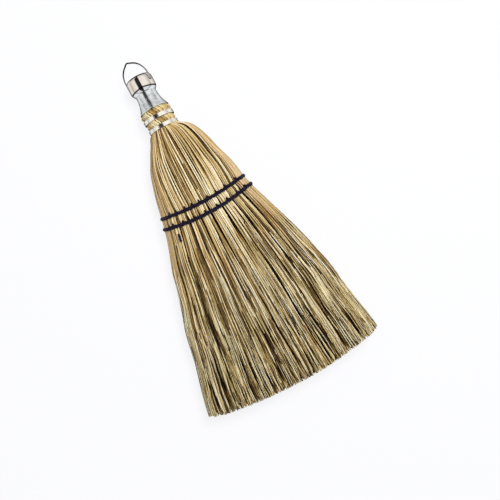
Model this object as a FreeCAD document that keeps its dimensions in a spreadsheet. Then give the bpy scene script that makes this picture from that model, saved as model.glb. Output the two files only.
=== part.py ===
import FreeCAD, Part
import Sketcher
import math
import os
import re
from collections import namedtuple

# Whisk broom of broomcorn with a metal handle, lying flat on a table.
# +X runs across the fan, +Y along the handle toward the hanging bail, +Z up.
# Heights in the expressions are measured along the broom from its longest tip.

# Driving dimensions in millimetres and degrees

SIZES = {
    "broom_length": 254.0,          # longest tip to the top of the cap
    "body_thickness": 28.0,         # at the shoulder and at the tips
    "tip_width": 140.0,
    "tip_arch": 8.0,                # outermost straws end this much short of the middle ones
    "sewn_width": 68.0,             # across the fan at the upper sewing row
    "sewn_thickness": 19.0,
    "shoulder_fullness": 0.53,      # exponent of the curve from the neck to the sewing
    "fan_fullness": 1.35,           # exponent of the curve from the sewing to the tips
    "stalk_count": 44,              # outer straw locks round the broom
    "stalk_diameter": 1.6,          # depth of a lock where it is still one stalk
    "sewn_lock_depth": 3.2,
    "tip_lock_depth": 4.5,
    "stalk_tuck": 2.0,              # stalk ends hidden inside the sleeve mouth
    "stalk_bulge": 0.6,             # stalks stand this far proud of the hoops
    "neck_twist": 36.0,             # turn of the stalks between the hoops and the sleeve
    "straw_clearance": 0.4,         # inner straw to outer locks
    "cap_diameter": 20.4,
    "cap_height": 14.2,
    "cap_dome_bend": 28.0,
    "cap_corner": 3.4,
    "cap_rim_rise": 4.0,            # height over which the rim turns in to the sleeve
    "cap_wall": 0.5,
    "sleeve_neck_diameter": 16.2,
    "sleeve_rim_diameter": 23.2,
    "sleeve_length": 13.9,          # part of the sleeve seen below the cap
    "sleeve_flare": 12.5,
    "sleeve_reach": 10.0,           # part of the sleeve inside the cap
    "sleeve_wall": 0.4,
    "metal_fit": 0.05,              # cap lip on sleeve, hoop on stalks
    "upper_collar": 5.1,            # bare stalks between sleeve and upper hoop
    "upper_hoop_width": 3.0,
    "upper_hoop_diameter": 23.8,
    "lower_collar": 4.7,
    "lower_hoop_width": 2.9,
    "lower_hoop_diameter": 23.2,
    "hoop_wall": 0.5,
    "hoop_edge": 0.2,               # rounding of the hoop edges
    "binding_wire_diameter": 0.7,
    "binding_wire_turns": 6,
    "binding_wire_pitch": 1.7,
    "upper_row_height": 152.3,
    "upper_row_bow": 3.4,           # middle of the row hangs this much below its ends
    "row_spacing": 7.6,             # lower row below the upper one, at their ends
    "lower_row_bow": 4.8,
    "twine_diameter": 1.4,
    "twine_clearance": 0.1,
    "row_stitch_reach": 7,          # gaps sewn through on each side of the middle
    "bail_wire_diameter": 1.1,
    "bail_pivot_depth": 7.3,        # pivot below the top of the cap
    "bail_turn": 34.0,              # pivot axis raised from the flat of the fan
    "bail_swing": 11.0,             # lean of the bail at rest, toward the front face
    "bail_leg_gap": 0.35,           # leg to the side of the cap
    "bail_shoulder_width": 22.8,
    "bail_shoulder_height": 13.1,
    "bail_height": 19.1,            # pivot to the corner the top bend rounds off
    "bail_foot_bend": 0.9,
    "bail_shoulder_bend": 12.5,
    "bail_top_bend": 2.5,
    "bail_pin_inset": 0.3,          # pin end to the sleeve inside the cap
    "bail_pin_fit": 0.08,           # pin in its hole, on the radius
}

doc = FreeCAD.newDocument("HandBroom")
sheet = doc.addObject("Spreadsheet::Sheet", "Sizes")
for row, (alias, number) in enumerate(SIZES.items(), 1):
    sheet.set(f"A{row}", alias)
    sheet.set(f"B{row}", str(number))
    sheet.setAlias(f"B{row}", alias)
doc.recompute()


def bound(text):
    """The expression with each size read from the sheet."""
    return re.sub(r"[a-z_]+", lambda word: "Sizes." + word[0] if word[0] in SIZES else word[0], text)


def value(text):
    """The number an expression gives at the present sizes."""
    return float(sheet.evalExpression(bound(text)))


# Heights and radii that several pieces share

CAP_BASE = "(broom_length - cap_height)"
SLEEVE_RIM = f"({CAP_BASE} - sleeve_length)"
UPPER_HOOP_TOP = f"({SLEEVE_RIM} - upper_collar)"
UPPER_HOOP_BASE = f"({UPPER_HOOP_TOP} - upper_hoop_width)"
LOWER_HOOP_TOP = f"({UPPER_HOOP_BASE} - lower_collar)"
NECK = f"({LOWER_HOOP_TOP} - lower_hoop_width)"
STALK_END = f"({SLEEVE_RIM} + stalk_tuck)"
PIVOT = "(broom_length - bail_pivot_depth)"
BAIL_SLOPE = "((bail_height - bail_shoulder_height) / bail_shoulder_width * 2)"
BAIL_REACH = f"(bail_height - bail_top_bend * (sqrt(1 + {BAIL_SLOPE} ^ 2) - 1))"
BAIL_TOP = f"({PIVOT} + {BAIL_REACH} * cos(bail_swing) + bail_wire_diameter / 2)"

UPPER_HOOP_SEAT = "(upper_hoop_diameter / 2 - hoop_wall - metal_fit)"
LOWER_HOOP_SEAT = "(lower_hoop_diameter / 2 - hoop_wall - metal_fit)"
UPPER_BULGE = "(upper_hoop_diameter / 2 + stalk_bulge)"
LOWER_BULGE = "(lower_hoop_diameter / 2 + stalk_bulge)"
SLEEVE_BORE = "(sleeve_neck_diameter / 2 - sleeve_wall)"
WIRE_PATH = f"({SLEEVE_BORE} - binding_wire_diameter / 2 - metal_fit * 2)"
BOUND_STRAW = f"({WIRE_PATH} - binding_wire_diameter)"
FLARE_SPREAD = "((sleeve_rim_diameter - sleeve_neck_diameter) / 2)"
FLARE_BEND = f"(({FLARE_SPREAD} ^ 2 + sleeve_flare ^ 2) / 2 / {FLARE_SPREAD})"
STALK_END_SEAT = (f"({SLEEVE_BORE} + {FLARE_BEND} - metal_fit * 4"
                  f" - sqrt({FLARE_BEND} ^ 2 - (sleeve_flare - stalk_tuck) ^ 2))")
STALK_RIM_SEAT = "(sleeve_rim_diameter / 2 - sleeve_wall - metal_fit * 4)"
LOWER_ROW_LEVEL = "(upper_row_height - row_spacing)"
ACROSS_TOP = f"(({BAIL_TOP}) / 2)"
AXIS_RISE = "(body_thickness / 2)"


# Shape of the straw: outline half sizes at a few heights, neck to tips

Station = namedtuple("Station", "height half_width half_depth lock_depth fill drop")
LOOSE = 0.86    # share of its pitch that a free lock fills


def ring_station(height, radius):
    return Station(height, radius, radius, "stalk_diameter", LOOSE, "0")


def shoulder_station(way, body_share):
    """way runs from the neck (0) to the upper row (1); body_share is the part of the full thickness."""
    width = f"({LOWER_HOOP_SEAT} + (sewn_width / 2 - {LOWER_HOOP_SEAT}) * {way} ^ shoulder_fullness)"
    return Station(
        f"({NECK} - ({NECK} - upper_row_height) * {way})", width,
        f"(body_thickness / 2 * {body_share} + sewn_thickness / 2 * (1 - {body_share}))",
        f"(stalk_diameter + (sewn_lock_depth - stalk_diameter) * {way})", LOOSE, "0")


def fan_station(height, spread, fill=LOOSE, drop="0"):
    """spread is the share of the thickening from the sewing to the tips."""
    way = f"(1 - {height} / upper_row_height)"
    return Station(
        height,
        f"(sewn_width / 2 + (tip_width - sewn_width) / 2 * (1 - (1 - {way}) ^ fan_fullness))",
        f"(sewn_thickness / 2 + (body_thickness - sewn_thickness) / 2 * {spread})",
        f"(sewn_lock_depth + (tip_lock_depth - sewn_lock_depth) * {way})", fill, drop)


SEWN = 0.47     # share of its pitch that a lock fills where the twine passes beside it

STALK_STATIONS = [
    ring_station(STALK_END, STALK_END_SEAT),
    ring_station(SLEEVE_RIM, STALK_RIM_SEAT),
    ring_station(f"({SLEEVE_RIM} - upper_collar / 2)", UPPER_BULGE),
    ring_station(UPPER_HOOP_TOP, UPPER_HOOP_SEAT),
    ring_station(UPPER_HOOP_BASE, UPPER_HOOP_SEAT),
    ring_station(f"({UPPER_HOOP_BASE} - lower_collar / 2)", LOWER_BULGE),
    ring_station(LOWER_HOOP_TOP, LOWER_HOOP_SEAT),
    ring_station(NECK, LOWER_HOOP_SEAT),
    shoulder_station(0.13, 0.65),
    shoulder_station(0.37, 1),
    shoulder_station(0.68, 0.72),
    fan_station("upper_row_height", 0, SEWN, "upper_row_bow"),
    fan_station(LOWER_ROW_LEVEL, 0, SEWN, "lower_row_bow"),
    fan_station(f"({LOWER_ROW_LEVEL} * 0.86)", 0.3),
    fan_station(f"({LOWER_ROW_LEVEL} * 0.45)", 0.75),
    Station("tip_arch", "(tip_width / 2)", "(body_thickness / 2)", "tip_lock_depth", LOOSE, "tip_arch"),
]


# Helpers for bodies and their sketches

def new_body(name):
    body = doc.addObject("PartDesign::Body", name)
    body.Label = name
    return body


def place(thing, height, turn="0"):
    """Set a piece at a height on the broom axis, turned about that axis."""
    thing.Placement.Rotation = FreeCAD.Rotation(FreeCAD.Vector(0, 1, 0), 1)
    thing.setExpression("Placement.Base.y", bound(f"{height} - {ACROSS_TOP}"))
    thing.setExpression("Placement.Base.z", bound(AXIS_RISE))
    thing.setExpression("Placement.Rotation.Angle", bound(turn))


def new_sketch(body, name, role, offset="0"):
    sketch = body.newObject("Sketcher::SketchObject", name)
    plane = [feature for feature in body.Origin.OriginFeatures if feature.Role == role][0]
    sketch.AttachmentSupport = [(plane, "")]
    sketch.MapMode = "FlatFace"
    sketch.setExpression("AttachmentOffset.Base.z", bound(offset))
    return sketch


def limit(sketch, text, kind, *where):
    """A dimension of a sketch, bound to an expression."""
    index = sketch.addConstraint(Sketcher.Constraint(kind, *where, value(text)))
    sketch.setExpression(f"Constraints[{index}]", bound(text))


def pin_point(sketch, where, across, along):
    """Fix a sketch point by its two coordinates, zero meaning on the axis."""
    for text, kind, axis in ((across, "DistanceX", -2), (along, "DistanceY", -1)):
        if text == "0":
            sketch.addConstraint(Sketcher.Constraint("PointOnObject", *where, axis))
        else:
            limit(sketch, text, kind, -1, 1, *where)


def arc_between(start, end, radius, side):
    """Arc from start to end; side 1 bulges to the right of the way, -1 to the left."""
    chord = end - start
    middle = (start + end) / 2
    normal = FreeCAD.Vector(chord.y, -chord.x, 0)
    normal.normalize()
    rise = math.sqrt(radius ** 2 - (chord.Length / 2) ** 2)
    peak = middle + normal * side * (radius - rise)
    return Part.Arc(start, peak, end)


def closed_outline(sketch, corners, bends):
    """Closed outline through corners, each a pair of expressions.

    bends gives, for the corner an arc leaves from, its radius and the side it bulges to.
    """
    points = [FreeCAD.Vector(value(across), value(along), 0) for across, along in corners]
    ends = []
    for index, start in enumerate(points):
        end = points[(index + 1) % len(points)]
        if index not in bends:
            edge = sketch.addGeometry(Part.LineSegment(start, end))
            ends.append(((edge, 1), (edge, 2)))
            continue
        radius, side = bends[index]
        edge = sketch.addGeometry(arc_between(start, end, value(radius), side))
        first = sketch.getPoint(edge, 1).distanceToPoint(start) < 1e-6
        ends.append(((edge, 1), (edge, 2)) if first else ((edge, 2), (edge, 1)))
    for index, (across, along) in enumerate(corners):
        sketch.addConstraint(Sketcher.Constraint("Coincident", *ends[index - 1][1], *ends[index][0]))
        pin_point(sketch, ends[index][0], across, along)
    for index, (radius, side) in bends.items():
        limit(sketch, radius, "Radius", ends[index][0][0])


def add_circle(sketch, across, along, radius):
    centre = FreeCAD.Vector(value(across), value(along), 0)
    edge = sketch.addGeometry(Part.Circle(centre, FreeCAD.Vector(0, 0, 1), value(radius)))
    pin_point(sketch, (edge, 3), across, along)
    limit(sketch, radius, "Radius", edge)


def turn_round(body, sketch):
    """Turn an outline once round the broom axis."""
    feature = body.newObject("PartDesign::Revolution", "Turned")
    feature.Profile = sketch
    feature.ReferenceAxis = (sketch, ["V_Axis"])
    doc.recompute()
    return feature


def edges_at(shape, height, radius):
    """Names of the circles at one height with one radius."""
    names = []
    for index, edge in enumerate(shape.Edges, 1):
        if edge.Degenerated or not isinstance(edge.Curve, Part.Circle):
            continue
        if abs(edge.Curve.Center.y - height) < 1e-4 and abs(edge.Curve.Radius - radius) < 1e-4:
            names.append(f"Edge{index}")
    return names


def round_off(body, feature, circles, radius):
    """Round circular edges, each given by height and radius."""
    fillet = body.newObject("PartDesign::Fillet", "Rounding")
    names = [name for circle in circles for name in edges_at(feature.Shape, *circle)]
    fillet.Base = (feature, names)
    fillet.setExpression("Radius", bound(radius))
    doc.recompute()
    return fillet


def cut_through(body, sketch, before):
    """Cut a sketch through everything, both ways, and see that it took something away."""
    pocket = body.newObject("PartDesign::Pocket", "Cut")
    pocket.Profile = sketch
    pocket.Type = "ThroughAll"
    pocket.Midplane = True
    doc.recompute()
    if pocket.Shape.Volume >= before.Shape.Volume - 0.1:
        raise ValueError(f"{body.Label}: the cut takes nothing away")
    return pocket


# End cap: pressed dome with its rim turned in to the sleeve and two pin holes

cap = new_body("end_cap")
cap_radius = "(cap_diameter / 2)"
lip_radius = "(sleeve_neck_diameter / 2 + metal_fit)"
lip_depth = f"({cap_radius} - {lip_radius})"
rim_bend = f"((cap_rim_rise ^ 2 + {lip_depth} ^ 2) / 2 / {lip_depth})"
lip_top = f"(cap_rim_rise - sqrt(({rim_bend} - cap_wall) ^ 2 - ({rim_bend} - {lip_depth}) ^ 2))"
corner_across = f"({cap_radius} - cap_corner)"
corner_drop = f"sqrt((cap_dome_bend - cap_corner) ^ 2 - {corner_across} ^ 2)"
dome_centre = "(cap_height - cap_dome_bend)"
skirt_top = f"({dome_centre} + {corner_drop})"


def dome_edge(bend):
    """Where the dome runs into the rounded corner, for the outer or the inner face."""
    part = f"{bend} / (cap_dome_bend - cap_corner)"
    return f"{corner_across} * {part}", f"{dome_centre} + {corner_drop} * {part}"


inner_dome = "(cap_dome_bend - cap_wall)"
profile = new_sketch(cap, "CapProfile", "XY_Plane")
closed_outline(
    profile,
    [(lip_radius, "0"), (cap_radius, "cap_rim_rise"), (cap_radius, skirt_top), dome_edge("cap_dome_bend"),
     ("0", "cap_height"), ("0", "cap_height - cap_wall"), dome_edge(inner_dome),
     (f"{cap_radius} - cap_wall", skirt_top), (f"{cap_radius} - cap_wall", "cap_rim_rise"),
     (lip_radius, lip_top)],
    {0: (rim_bend, 1), 2: ("cap_corner", 1), 3: ("cap_dome_bend", 1), 5: (inner_dome, -1),
     6: ("cap_corner - cap_wall", -1), 8: (f"{rim_bend} - cap_wall", -1)})
shell = turn_round(cap, profile)
pin_holes = new_sketch(cap, "PinHoles", "YZ_Plane")
add_circle(pin_holes, "cap_height - bail_pivot_depth", "0", "bail_wire_diameter / 2 + bail_pin_fit")
cut_through(cap, pin_holes, shell)
place(cap, CAP_BASE, "-bail_turn")


# Handle sleeve: bottle-shaped tube, its upper end inside the cap

sleeve = new_body("handle_sleeve")
neck_radius = "sleeve_neck_diameter / 2"
rim_radius = "sleeve_rim_diameter / 2"
sleeve_top = "sleeve_length + sleeve_reach"
profile = new_sketch(sleeve, "SleeveProfile", "XY_Plane")
closed_outline(
    profile,
    [(f"{rim_radius} - sleeve_wall", "0"), (rim_radius, "0"), (neck_radius, "sleeve_flare"),
     (neck_radius, sleeve_top), (f"{neck_radius} - sleeve_wall", sleeve_top),
     (f"{neck_radius} - sleeve_wall", "sleeve_flare")],
    {1: (FLARE_BEND, -1), 5: (FLARE_BEND, 1)})
turn_round(sleeve, profile)
place(sleeve, SLEEVE_RIM)


# Flat hoops that draw the stalks in

def make_hoop(name, diameter, width, base):
    hoop = new_body(name)
    outer = f"{diameter} / 2"
    inner = f"{diameter} / 2 - hoop_wall"
    section = new_sketch(hoop, name + "_section", "XY_Plane")
    closed_outline(section, [(inner, "0"), (outer, "0"), (outer, width), (inner, width)], {})
    ring = turn_round(hoop, section)
    round_off(hoop, ring, [(0, value(outer)), (value(width), value(outer))], "hoop_edge")
    place(hoop, base)
    return hoop


upper_hoop = make_hoop("upper_hoop", "upper_hoop_diameter", "upper_hoop_width", UPPER_HOOP_BASE)
lower_hoop = make_hoop("lower_hoop", "lower_hoop_diameter", "lower_hoop_width", NECK)


# Hanging bail: one wire with its two feet turned in to the cap

bail = new_body("hanging_bail")
leg_line = "(cap_diameter / 2 + bail_leg_gap + bail_wire_diameter / 2)"
pin_end = "(sleeve_neck_diameter / 2 + bail_pin_inset)"
half_shoulder = "bail_shoulder_width / 2"
path = new_sketch(bail, "BailPath", "XY_Plane")
path.AttachmentOffset.Rotation = FreeCAD.Rotation(FreeCAD.Vector(1, 0, 0), 1)
path.setExpression("AttachmentOffset.Rotation.Angle", bound("bail_swing"))
bail_corners = [
    (pin_end, "0", None), (leg_line, "0", "bail_foot_bend"),
    (half_shoulder, "bail_shoulder_height", "bail_shoulder_bend"), ("0", "bail_height", "bail_top_bend"),
    (f"-({half_shoulder})", "bail_shoulder_height", "bail_shoulder_bend"),
    (f"-{leg_line}", "0", "bail_foot_bend"), (f"-{pin_end}", "0", None)]


def rounded_path(sketch, corners):
    """Open path of straight runs joined by tangent arcs at its inner corners."""
    points = [FreeCAD.Vector(value(across), value(along), 0) for across, along, bend in corners]
    marks = []
    for (across, along, bend), point in zip(corners, points):
        mark = sketch.addGeometry(Part.Point(point), True)
        pin_point(sketch, (mark, 1), across, along)
        marks.append(mark)
    trims = [0.0]
    for before, point, after, corner in zip(points, points[1:], points[2:], corners[1:]):
        turn = (point - before).getAngle(after - point)
        trims.append(value(corner[2]) * math.tan(turn / 2))
    trims.append(0.0)
    runs = []
    for index, (start, end) in enumerate(zip(points, points[1:])):
        way = (end - start).normalize()
        line = Part.LineSegment(start + way * trims[index], end - way * trims[index + 1])
        runs.append(sketch.addGeometry(line))
    for index, run in enumerate(runs):
        if index:
            sketch.addConstraint(Sketcher.Constraint("PointOnObject", marks[index], 1, run))
        if index + 1 < len(runs):
            sketch.addConstraint(Sketcher.Constraint("PointOnObject", marks[index + 1], 1, run))
    sketch.addConstraint(Sketcher.Constraint("Coincident", runs[0], 1, marks[0], 1))
    sketch.addConstraint(Sketcher.Constraint("Coincident", runs[-1], 2, marks[-1], 1))
    for index in range(1, len(runs)):
        start = sketch.getPoint(runs[index - 1], 2)
        end = sketch.getPoint(runs[index], 1)
        radius = value(corners[index][2])
        back = points[index - 1] - points[index]
        side = 1 if back.cross(points[index + 1] - points[index]).z < 0 else -1
        edge = sketch.addGeometry(arc_between(start, end, radius, side))
        first = sketch.getPoint(edge, 1).distanceToPoint(start) < 1e-6
        arc_start, arc_end = (1, 2) if first else (2, 1)
        sketch.addConstraint(Sketcher.Constraint("Tangent", runs[index - 1], 2, edge, arc_start))
        sketch.addConstraint(Sketcher.Constraint("Tangent", edge, arc_end, runs[index], 1))
        limit(sketch, corners[index][2], "Radius", edge)


rounded_path(path, bail_corners)
wire_section = new_sketch(bail, "WireSection", "YZ_Plane", pin_end)
add_circle(wire_section, "0", "0", "bail_wire_diameter / 2")
doc.recompute()
wire = bail.newObject("PartDesign::AdditivePipe", "Wire")
wire.Profile = wire_section
wire.Spine = (path, [f"Edge{index}" for index in range(1, len(path.Shape.Edges) + 1)])
doc.recompute()
place(bail, PIVOT, "-bail_turn")


# Inner straw: the bundle inside the outer locks, pierced for the sewing

inner = new_body("inner_straw")
LEAST_FLAT = "0.1"


def slot_section(body, name, height, half_width, half_depth):
    """Flat-sided section with round ends, at one height."""
    sketch = new_sketch(body, name, "XZ_Plane", f"-({height})")
    radius = value(half_depth)
    flat = max(value(half_width) - radius, value(LEAST_FLAT))
    straight = f"max({half_width} - {half_depth}; {LEAST_FLAT})"
    up = FreeCAD.Vector(0, radius, 0)
    right = FreeCAD.Vector(flat, 0, 0)
    across = FreeCAD.Vector(radius, 0, 0)
    top = sketch.addGeometry(Part.LineSegment(up - right, up + right))
    right_end = sketch.addGeometry(Part.Arc(up + right, right + across, right - up))
    bottom = sketch.addGeometry(Part.LineSegment(right - up, -right - up))
    left_end = sketch.addGeometry(Part.Arc(-right - up, -right - across, up - right))
    turns = [(top, right_end), (right_end, bottom), (bottom, left_end), (left_end, top)]
    for first, second in turns:
        close = [(one, two) for one in (1, 2) for two in (1, 2)
                 if sketch.getPoint(first, one).distanceToPoint(sketch.getPoint(second, two)) < 1e-6]
        sketch.addConstraint(Sketcher.Constraint("Tangent", first, close[0][0], second, close[0][1]))
    sketch.addConstraint(Sketcher.Constraint("Horizontal", top))
    sketch.addConstraint(Sketcher.Constraint("PointOnObject", right_end, 3, -1))
    limit(sketch, half_depth, "Radius", right_end)
    limit(sketch, straight, "DistanceX", -1, 1, right_end, 3)
    limit(sketch, f"2 * ({straight})", "DistanceX", left_end, 3, right_end, 3)
    return sketch


core_sections = [
    (f"({CAP_BASE} + sleeve_reach + sleeve_wall)", BOUND_STRAW, BOUND_STRAW),
    (f"({STALK_END} + stalk_diameter)", BOUND_STRAW, BOUND_STRAW)]
for station in STALK_STATIONS:
    inset = f"{station.lock_depth} - straw_clearance"
    level = "0" if station.drop == "tip_arch" else station.height
    core_sections.append((level, f"({station.half_width} - {inset})", f"({station.half_depth} - {inset})"))
sections = [slot_section(inner, f"Level{index:02d}", *each) for index, each in enumerate(core_sections)]
doc.recompute()
bundle = inner.newObject("PartDesign::AdditiveLoft", "Bundle")
bundle.Profile = sections[0]
bundle.Sections = sections[1:]
bundle.Ruled = True
doc.recompute()

arch = new_sketch(inner, "TipArch", "XY_Plane")
half_tip = "tip_width / 2"
arch_bend = f"((({half_tip}) ^ 2 + tip_arch ^ 2) / 2 / tip_arch)"
closed_outline(
    arch,
    [(half_tip, "tip_arch + straw_clearance"), (f"-({half_tip})", "tip_arch + straw_clearance"),
     (f"-({half_tip})", "-tip_arch"), (half_tip, "-tip_arch")],
    {0: (arch_bend, -1)})
trimmed = cut_through(inner, arch, bundle)
place(inner, "0")


# Sewing layout: which gaps between locks the twine passes, and where

Row = namedtuple("Row", "name station")
UPPER_ROW = Row("upper", STALK_STATIONS[11])
LOWER_ROW = Row("lower", STALK_STATIONS[12])
count = round(value("stalk_count"))


def on_outline(half_width, half_depth, share):
    """Point (x, z) and outward normal at a share of the way round, from the front middle to +X."""
    straight = half_width - half_depth
    bend = math.pi * half_depth
    way = share % 1 * (4 * straight + 2 * bend)
    if way < straight:
        return (way, half_depth), (0.0, 1.0)
    way -= straight
    if way < bend:
        angle = way / half_depth
        normal = (math.sin(angle), math.cos(angle))
        return (straight + half_depth * normal[0], half_depth * normal[1]), normal
    way -= bend
    if way < 2 * straight:
        return (straight - way, -half_depth), (0.0, -1.0)
    way -= 2 * straight
    if way < bend:
        angle = way / half_depth
        normal = (-math.sin(angle), -math.cos(angle))
        return (-straight + half_depth * normal[0], half_depth * normal[1]), normal
    return (way - bend - straight, half_depth), (0.0, 1.0)


def level_at(station, across):
    """Height of a station at a distance from the middle, with its bow."""
    part = across / value(station.half_width)
    return value(station.height) - value(station.drop) * (1 - part * part)


def gap_across(row, gap):
    """Distance from the middle of the gap between two locks, counted from the middle gap."""
    (across, rise), normal = on_outline(
        value(row.station.half_width), value(row.station.half_depth), gap / count)
    return across


stitch_offset = value("twine_diameter + twine_clearance")
reach = round(value("row_stitch_reach"))
gaps = list(range(-reach, reach + 1))


def pass_height(row, gap):
    """Height of the twine where it goes through: above the band at even gaps, below at odd ones."""
    side = 1 if gap % 2 == 0 else -1
    return level_at(row.station, gap_across(row, gap)) + side * stitch_offset


sewing_holes = new_sketch(inner, "SewingHoles", "XY_Plane")
for row in (UPPER_ROW, LOWER_ROW):
    for gap in gaps:
        centre = FreeCAD.Vector(gap_across(row, gap), pass_height(row, gap), 0)
        hole = sewing_holes.addGeometry(Part.Circle(centre, FreeCAD.Vector(0, 0, 1), stitch_offset / 2))
        sewing_holes.addConstraint(Sketcher.Constraint("Block", hole))
        limit(sewing_holes, "(twine_diameter / 2 + straw_clearance)", "Radius", hole)
cut_through(inner, sewing_holes, trimmed)


# Pieces set from points: straw locks, sewing twine and binding wire

def add_piece(name, shape):
    piece = doc.addObject("Part::Feature", name)
    piece.Label = name
    piece.Shape = shape
    place(piece, "0")
    return piece


def ruled_solid(wires):
    solid = Part.makeLoft(wires, True, True)
    if solid.Volume < 0:
        solid.reverse()
    return solid


def closed_wire(points):
    return Part.makePolygon(points + points[:1])


LOCK_SECTION = [(-0.5, -0.35), (-0.3, 0), (0.3, 0), (0.5, -0.35), (0.34, -1), (-0.34, -1)]
neck_level = value(NECK)
twist_run = value(STALK_END) - neck_level


def lock_wire(station, index):
    """Section of one lock at one station: crowned outside, narrower inside."""
    half_width = value(station.half_width)
    half_depth = value(station.half_depth)
    depth = value(station.lock_depth)
    twist = value("neck_twist") / 360 * max(value(station.height) - neck_level, 0) / twist_run
    share = (index + 0.5) / count - twist
    (x, z), (nx, nz) = on_outline(half_width, half_depth, share)
    pitch = (4 * (half_width - half_depth) + 2 * math.pi * half_depth) / count
    width = pitch * station.fill
    level = level_at(station, x)
    points = []
    for sideways, inward in LOCK_SECTION:
        points.append(FreeCAD.Vector(
            x + sideways * width * nz + inward * depth * nx, level,
            z - sideways * width * nx + inward * depth * nz))
    return closed_wire(points)


FACE_SHARE = 0.32   # share of the locks that lie on each flat face


def lock_side(index):
    """Face a lock lies on at the sewing."""
    turn = (index + 0.5) / count
    if abs((turn + 0.5) % 1 - 0.5) < FACE_SHARE / 2:
        return "front"
    if abs(turn - 0.5) < FACE_SHARE / 2:
        return "back"
    return "right" if turn < 0.5 else "left"


def lock_names():
    """Names by face, numbered in order round the broom from the left edge."""
    sides = [lock_side(index) for index in range(count)]
    start = sides.index("left")
    numbers = {"left": 0, "front": 0, "right": 0, "back": 0}
    names = {}
    for step in range(count):
        index = (start + step) % count
        numbers[sides[index]] += 1
        names[index] = f"{sides[index]}_straw_{numbers[sides[index]]:02d}"
    return [names[index] for index in range(count)]


locks = []
for index, name in enumerate(lock_names()):
    locks.append(add_piece(name, ruled_solid([lock_wire(station, index) for station in STALK_STATIONS])))


def round_tube(points, radius, sides=6):
    """Twine or wire along points, mitred at each of them."""
    ways = [(after - before).normalize() for before, after in zip(points, points[1:])]
    start = ways[0]
    helper = FreeCAD.Vector(0, 0, 1) if abs(start.z) < 0.9 else FreeCAD.Vector(0, 1, 0)
    first = start.cross(helper).normalize()
    second = start.cross(first)
    ring = []
    for side in range(sides):
        angle = 2 * math.pi * (side + 0.5) / sides
        ring.append(points[0] + first * radius * math.cos(angle) + second * radius * math.sin(angle))
    wires = [closed_wire(ring)]
    for index, way in enumerate(ways):
        after = ways[index + 1] if index + 1 < len(ways) else way
        across = (way + after).normalize()
        corner = points[index + 1]
        ring = [spot + way * ((corner - spot).dot(across) / way.dot(across)) for spot in ring]
        wires.append(closed_wire(ring))
    return ruled_solid(wires)


twine = value("twine_diameter / 2")
lift = value("twine_diameter / 2 + twine_clearance")


def band_points(row, steps_flat=6, steps_bend=9):
    """One turn of twine laid round the straw, its ends meeting at the left edge."""
    half_depth = value(row.station.half_depth) + lift
    half_width = value(row.station.half_width) + lift
    straight = half_width - half_depth
    angle_step = math.pi / steps_bend
    bend_radius = half_depth / math.cos(angle_step / 2)
    spots = []
    for side in (1, -1):
        for step in range(steps_flat):
            spots.append((side * (-straight + 2 * straight * (step + 0.5) / steps_flat), side * half_depth))
        for step in range(steps_bend):
            angle = angle_step * (step + 0.5)
            spots.append((side * (straight + bend_radius * math.sin(angle)),
                          side * bend_radius * math.cos(angle)))
    middle = len(spots) - steps_bend // 2
    spots = spots[middle:] + spots[:middle]
    points = [FreeCAD.Vector(x, level_at(row.station, min(max(x, -half_width), half_width)), z)
              for x, z in spots]
    return points


def stitch_points(row):
    """Overcast stitches: through a gap, over the band, through the next gap, over the band behind."""
    band_level = value(row.station.half_depth) + lift
    points = []
    for gap, after in zip(gaps, gaps[1:]):
        face = 1 if gap % 2 == 0 else -1
        x_from = gap_across(row, gap)
        x_to = gap_across(row, after)
        y_from = pass_height(row, gap)
        y_to = pass_height(row, after)
        for share, rise in ((0, 0.55), (0.225, 1), (0.775, 1), (1, 0.55)):
            points.append(FreeCAD.Vector(
                x_from + (x_to - x_from) * share, y_from + (y_to - y_from) * share,
                face * (band_level + stitch_offset * rise)))
    start = FreeCAD.Vector(points[0].x, points[0].y, -points[0].z * 0.8)
    end = FreeCAD.Vector(points[-1].x, points[-1].y, -points[-1].z * 0.8)
    return [start] + points + [end]


twines = []
for row in (UPPER_ROW, LOWER_ROW):
    twines.append(add_piece(f"{row.name}_sewing_band", round_tube(band_points(row), twine)))
    twines.append(add_piece(f"{row.name}_sewing_stitches", round_tube(stitch_points(row), twine)))


def winding_points(steps_turn=16):
    """Binding wire wound down the bundle inside the sleeve."""
    turns = round(value("binding_wire_turns"))
    base = value(f"{STALK_END} + stalk_diameter + binding_wire_diameter")
    points = []
    for step in range(turns * steps_turn + 1):
        angle = 2 * math.pi * step / steps_turn
        points.append(FreeCAD.Vector(
            value(WIRE_PATH) * math.sin(angle), base + value("binding_wire_pitch") * step / steps_turn,
            value(WIRE_PATH) * math.cos(angle)))
    return points


winding = winding_points()
least_gap = min(
    one.distanceToPoint(two) for index, one in enumerate(winding) for two in winding[index + 12:])
print(f"binding wire: least gap between turns {least_gap - value('binding_wire_diameter'):.2f} mm")
binding = add_piece("binding_wire", round_tube(winding, value("binding_wire_diameter / 2")))


# Check every piece and write one file for each

doc.recompute()
pieces = [cap, sleeve, upper_hoop, lower_hoop, bail, inner, binding] + twines + locks
for thing in doc.Objects:
    if "Invalid" in thing.State or "Error" in thing.State:
        raise ValueError(f"{thing.Label}: {thing.State}")
os.makedirs("parts", exist_ok=True)
for piece in pieces:
    shape = piece.Shape
    if shape.isNull() or not shape.isValid() or len(shape.Solids) != 1:
        raise ValueError(f"{piece.Label}: not one sound solid")
    shape.exportStep(f"parts/{piece.Label}.step")
print(f"{len(pieces)} pieces written")
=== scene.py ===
import math

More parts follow.
